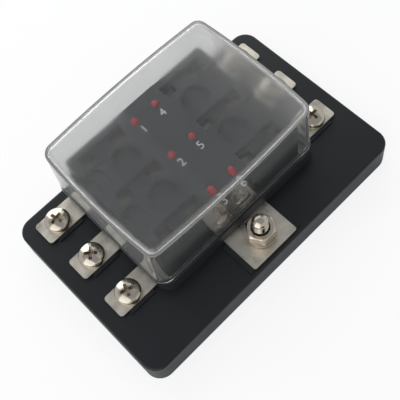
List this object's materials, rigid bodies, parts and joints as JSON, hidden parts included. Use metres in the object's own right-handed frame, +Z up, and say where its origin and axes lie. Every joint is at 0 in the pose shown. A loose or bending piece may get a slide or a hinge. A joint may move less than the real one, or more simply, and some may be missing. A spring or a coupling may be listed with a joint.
{
  "type": "fuse block",
  "caption": "Covered blade fuse block: supply stud at the side, a screw terminal for each fused load, red fault lamps and a clear snap cover.",
  "frame": {"origin": "middle of the underside of the base", "axes": "+X from the end with circuits 1 to 3 to the end with circuits 4 to 6, +Y from the supply stud to the blank long side, +Z up"},
  "size_m": [0.1248, 0.0791, 0.0472],
  "materials": {
    "black_base_plastic": "satin moulded nylon, black",
    "black_holder_plastic": "satin moulded nylon, black",
    "clear_cover": "clear moulded polycarbonate, slightly hazy",
    "nickel_plated_brass": "satin nickel plate",
    "nickel_plated_steel": "bright nickel plate",
    "red_lamp": "red diffusing epoxy",
    "board_laminate": "green coated glass epoxy laminate",
    "resistor_body": "lacquered"
  },
  "bodies": {
    "base": {"base_plate": "black_base_plastic", "fuse_holder": "black_holder_plastic", "supply_plate": "nickel_plated_brass", "supply_stud": "nickel_plated_steel", "flat_washer": "nickel_plated_steel", "spring_washer": "nickel_plated_steel", "lamp_board": "board_laminate", "terminal_strip_1": "nickel_plated_brass", "terminal_nut_1": "nickel_plated_steel", "lamp_1": "red_lamp", "resistor_1": "resistor_body", "terminal_strip_2": "nickel_plated_brass", "terminal_nut_2": "nickel_plated_steel", "lamp_2": "red_lamp", "resistor_2": "resistor_body", "terminal_strip_3": "nickel_plated_brass", "terminal_nut_3": "nickel_plated_steel", "lamp_3": "red_lamp", "resistor_3": "resistor_body", "terminal_strip_4": "nickel_plated_brass", "terminal_nut_4": "nickel_plated_steel", "lamp_4": "red_lamp", "resistor_4": "resistor_body", "terminal_strip_5": "nickel_plated_brass", "terminal_nut_5": "nickel_plated_steel", "lamp_5": "red_lamp", "resistor_5": "resistor_body", "terminal_strip_6": "nickel_plated_brass", "terminal_nut_6": "nickel_plated_steel", "lamp_6": "red_lamp", "resistor_6": "resistor_body", "plate_screw_1": "nickel_plated_steel", "plate_screw_2": "nickel_plated_steel", "holder_screw_1": "nickel_plated_steel", "holder_screw_2": "nickel_plated_steel", "holder_screw_3": "nickel_plated_steel", "holder_screw_4": "nickel_plated_steel"},
    "cover": {"cover": "clear_cover"},
    "stud_nut": {"stud_nut": "nickel_plated_steel"},
    "terminal_screw_1": {"terminal_screw_1": "nickel_plated_steel"},
    "terminal_screw_2": {"terminal_screw_2": "nickel_plated_steel"},
    "terminal_screw_3": {"terminal_screw_3": "nickel_plated_steel"},
    "terminal_screw_4": {"terminal_screw_4": "nickel_plated_steel"},
    "terminal_screw_5": {"terminal_screw_5": "nickel_plated_steel"},
    "terminal_screw_6": {"terminal_screw_6": "nickel_plated_steel"}
  },
  "joints": [
    {"name": "cover_lift", "type": "slide", "parent": "base", "child": "cover", "axis": [0, 0, 1], "range_m": [0, 0.06]},
    {"name": "stud_nut_turn", "type": "hinge", "parent": "base", "child": "stud_nut", "pos_m": [0, -0.0303, 0.0195], "axis": [0, 0, 1], "continuous": true},
    {"name": "terminal_screw_1_turn", "type": "hinge", "parent": "base", "child": "terminal_screw_1", "pos_m": [-0.0486, 0.02931, 0.0138], "axis": [0, 0, 1], "continuous": true},
    {"name": "terminal_screw_2_turn", "type": "hinge", "parent": "base", "child": "terminal_screw_2", "pos_m": [-0.0486, 0.00919, 0.0138], "axis": [0, 0, 1], "continuous": true},
    {"name": "terminal_screw_3_turn", "type": "hinge", "parent": "base", "child": "terminal_screw_3", "pos_m": [-0.0486, -0.01093, 0.0138], "axis": [0, 0, 1], "continuous": true},
    {"name": "terminal_screw_4_turn", "type": "hinge", "parent": "base", "child": "terminal_screw_4", "pos_m": [0.0486, 0.02931, 0.0138], "axis": [0, 0, 1], "continuous": true},
    {"name": "terminal_screw_5_turn", "type": "hinge", "parent": "base", "child": "terminal_screw_5", "pos_m": [0.0486, 0.00919, 0.0138], "axis": [0, 0, 1], "continuous": true},
    {"name": "terminal_screw_6_turn", "type": "hinge", "parent": "base", "child": "terminal_screw_6", "pos_m": [0.0486, -0.01093, 0.0138], "axis": [0, 0, 1], "continuous": true}
  ]
}
